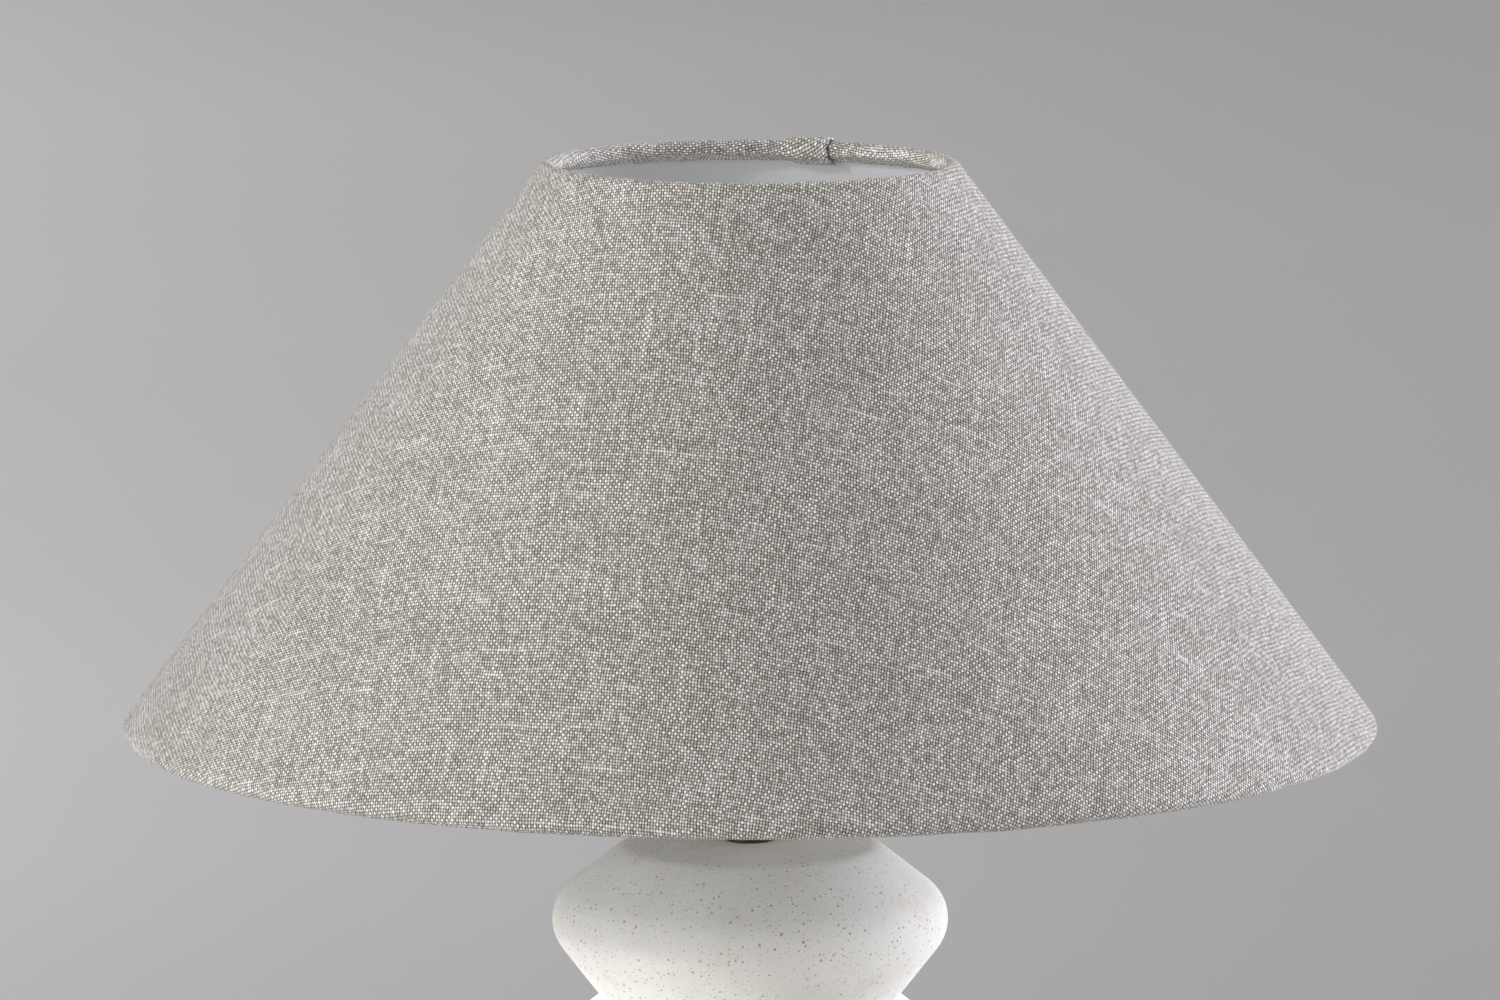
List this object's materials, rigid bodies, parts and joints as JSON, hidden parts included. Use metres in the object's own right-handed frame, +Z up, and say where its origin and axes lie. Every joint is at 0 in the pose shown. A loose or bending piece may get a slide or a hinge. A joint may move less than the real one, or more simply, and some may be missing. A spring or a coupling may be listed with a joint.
{
  "type": "table lamp",
  "caption": "Table lamp with a stepped matt ceramic base and a wide cone shade in greige linen over a white liner.",
  "frame": {"origin": "centre of the felt's underside, on the surface the lamp stands on", "axes": "+Z up along the lamp's axis, -Y towards the front, +X to the right seen from the front"},
  "size_m": [0.4501, 0.45, 0.5277],
  "materials": {
    "ceramic": "matte",
    "felt": "matte",
    "steel": "satin",
    "brass": "satin",
    "bronze": "satin",
    "rubber": "matte",
    "black_plastic": "gloss",
    "porcelain": "matte",
    "white_wire": "satin",
    "linen": "matte",
    "liner": "matte",
    "opal": "satin",
    "white_plastic": "satin",
    "nickel": "satin"
  },
  "bodies": {
    "base": {"felt_pad": "felt", "ceramic_body": "ceramic", "base_plate": "steel", "cord_grommet": "rubber", "bottom_washer": "steel", "bottom_nut": "steel", "threaded_tube": "steel", "neck_collar": "bronze", "lampholder_cap": "brass", "grub_screw": "steel", "lampholder_insert": "porcelain", "terminal_screws": "brass", "centre_contact": "brass", "screw_shell": "brass", "lampholder_skirt": "brass", "support_ring": "bronze"},
    "switch_bar": {"push_bar": "black_plastic"},
    "shade_clamp": {"clamp_ring": "bronze"},
    "bulb": {"bulb_contact": "nickel", "bulb_insulator": "black_plastic", "bulb_cap": "nickel", "bulb_collar": "white_plastic", "bulb_globe": "opal"},
    "shade": {"fitter_ring": "white_wire", "spider_arms": "white_wire", "bottom_wire_ring": "white_wire", "top_wire_ring": "white_wire", "shade_liner": "liner", "shade_cover": "linen", "bottom_hem": "linen", "top_hem": "linen"}
  },
  "joints": [
    {"name": "switch_push", "type": "slide", "parent": "base", "child": "switch_bar", "axis": [1, 0, 0], "range_m": [0, 0.007]},
    {"name": "shade_turn", "type": "hinge", "parent": "base", "child": "shade", "pos_m": [0, 0, 0.3368], "axis": [0, 0, 1], "continuous": true},
    {"name": "clamp_turn", "type": "hinge", "parent": "base", "child": "shade_clamp", "pos_m": [0, 0, 0.3391], "axis": [0, 0, 1], "continuous": true},
    {"name": "bulb_turn", "type": "hinge", "parent": "base", "child": "bulb", "pos_m": [0, 0, 0.3252], "axis": [0, 0, 1], "continuous": true}
  ]
}
